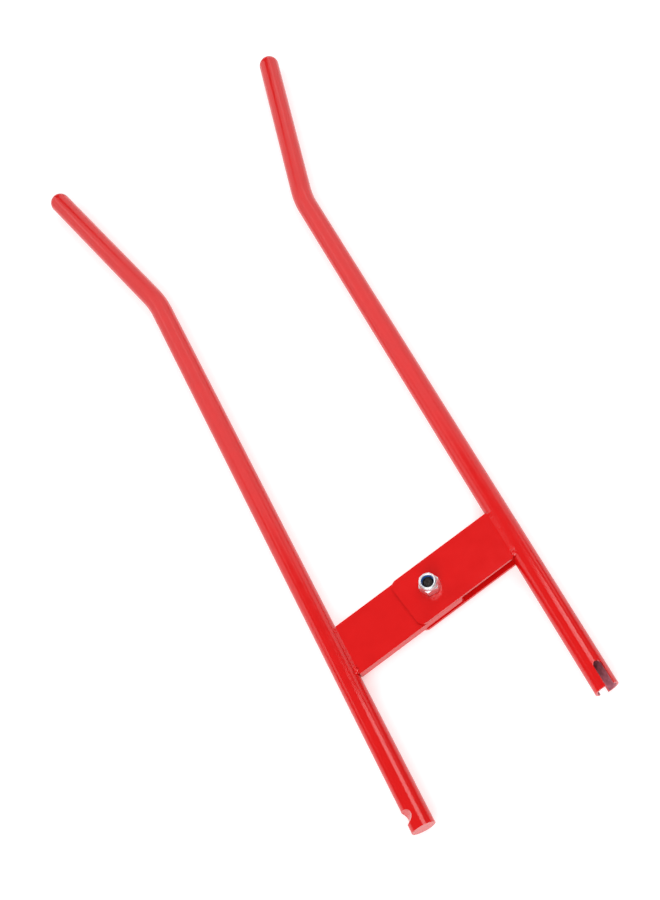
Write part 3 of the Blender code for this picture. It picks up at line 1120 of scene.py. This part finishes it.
class CLAMP_OT_build_stage(bpy.types.Operator):
    """Builds the floor, the lamps, the surroundings and the camera"""

    bl_idname = "clamp.build_stage"
    bl_label = "Stage"

    def execute(self, context):
        self.build_floor()
        self.build_lamps()
        self.build_surround()
        self.build_camera()
        return {"FINISHED"}

    def build_floor(self):
        half = bpy.context.scene.clamp_stage.floor_size / 2
        mesh = bpy.data.meshes.new("studio_floor")
        shape = bmesh.new()
        bmesh.ops.create_grid(shape, x_segments=1, y_segments=1, size=half)
        shape.to_mesh(mesh)
        shape.free()
        floor = new_object("studio_floor", mesh)
        floor.location.z = CAD_LOW.z
        floor.data.materials.append(finish_of("floor"))

    def build_lamps(self):
        middle = PIVOT + LAMPS_MIDDLE
        handles = middle + LAMPS_HANDLES
        soft_lamp("key_softbox", middle + KEY_PLACE, KEY_SIZE, KEY_WATTS, middle)
        soft_lamp("handle_panel", middle + PANEL_PLACE, PANEL_SIZE, PANEL_WATTS, handles)
        for side in (LEFT, RIGHT):
            place = middle + Vector((side * SIDE_PLACE.x, SIDE_PLACE.y, SIDE_PLACE.z))
            soft_lamp(f"{SIDE_NAME[side]}_panel", place, SIDE_SIZE, SIDE_WATTS, handles)
        below_strip = PIVOT + Vector((0.0, STRIP_PLACE.y, 0.0))
        soft_lamp("strip_lamp", PIVOT + STRIP_PLACE, STRIP_SIZE, STRIP_WATTS, below_strip)

    def build_surround(self):
        """Plain surroundings: dim where they light and mirror in the pieces, pale where they are seen."""
        stage = bpy.context.scene.clamp_stage
        world = bpy.data.worlds.new("plain_surround")
        world.use_nodes = True
        world.node_tree.nodes.clear()
        lighting = add_node(world, "ShaderNodeBackground", {"Strength": stage.surround})
        backdrop = add_node(world, "ShaderNodeBackground", {"Strength": stage.backdrop})
        for background in (lighting, backdrop):
            background.inputs["Color"].default_value = (1.0, 1.0, 1.0, 1.0)
        seen = add_node(world, "ShaderNodeLightPath").outputs["Is Camera Ray"]
        mix = add_node(world, "ShaderNodeMixShader", {"Fac": seen})
        world.node_tree.links.new(lighting.outputs[0], mix.inputs[1])
        world.node_tree.links.new(backdrop.outputs[0], mix.inputs[2])
        add_node(world, "ShaderNodeOutputWorld", {"Surface": mix.outputs[0]})
        bpy.context.scene.world = world
        bpy.context.scene.view_settings.view_transform = "Standard"

    def build_camera(self):
        stage = bpy.context.scene.clamp_stage
        data = bpy.data.cameras.new("camera")
        data.lens = stage.lens
        camera = bpy.data.objects.new("camera", data)
        bpy.context.scene.collection.objects.link(camera)
        target = PIVOT + Vector(stage.look_at)
        back = Vector(
            (
                math.sin(stage.azimuth) * math.cos(stage.elevation),
                -math.cos(stage.azimuth) * math.cos(stage.elevation),
                math.sin(stage.elevation),
            )
        )
        level = (-back).to_track_quat("-Z", "Y").to_matrix().to_4x4()
        turned_view = level @ Matrix.Rotation(stage.roll, 4, "Z")
        camera.matrix_world = Matrix.Translation(target + back * stage.distance) @ turned_view
        bpy.context.scene.camera = camera


class CLAMP_PT_panel(bpy.types.Panel):
    """The clamp's pieces and settings"""

    bl_label = "Two-lever clamp"
    bl_idname = "CLAMP_PT_panel"
    bl_space_type = "VIEW_3D"
    bl_region_type = "UI"
    bl_category = "Clamp"

    def draw(self, context):
        for operator in OPERATORS:
            self.layout.operator(operator.bl_idname)
        for group in ("clamp_sizes", "clamp_colours", "clamp_stage"):
            values = getattr(context.scene, group)
            box = self.layout.box()
            for name in values.__annotations__:
                box.prop(values, name)


OPERATORS = (
    CLAMP_OT_build_levers,
    CLAMP_OT_build_plates,
    CLAMP_OT_build_welds,
    CLAMP_OT_build_fasteners,
    CLAMP_OT_build_stage,
)
CLASSES = (ClampSizes, ClampColours, StageSettings, *OPERATORS, CLAMP_PT_panel)


def register():
    for cls in CLASSES:
        bpy.utils.register_class(cls)
    bpy.types.Scene.clamp_sizes = PointerProperty(type=ClampSizes)
    bpy.types.Scene.clamp_colours = PointerProperty(type=ClampColours)
    bpy.types.Scene.clamp_stage = PointerProperty(type=StageSettings)


def unregister():
    del bpy.types.Scene.clamp_stage
    del bpy.types.Scene.clamp_colours
    del bpy.types.Scene.clamp_sizes
    for cls in reversed(CLASSES):
        bpy.utils.unregister_class(cls)


def main():
    register()
    bpy.ops.clamp.build_levers()
    bpy.ops.clamp.build_plates()
    bpy.ops.clamp.build_welds()
    bpy.ops.clamp.build_fasteners()
    bpy.ops.clamp.build_stage()


if __name__ == "__main__":
    main()
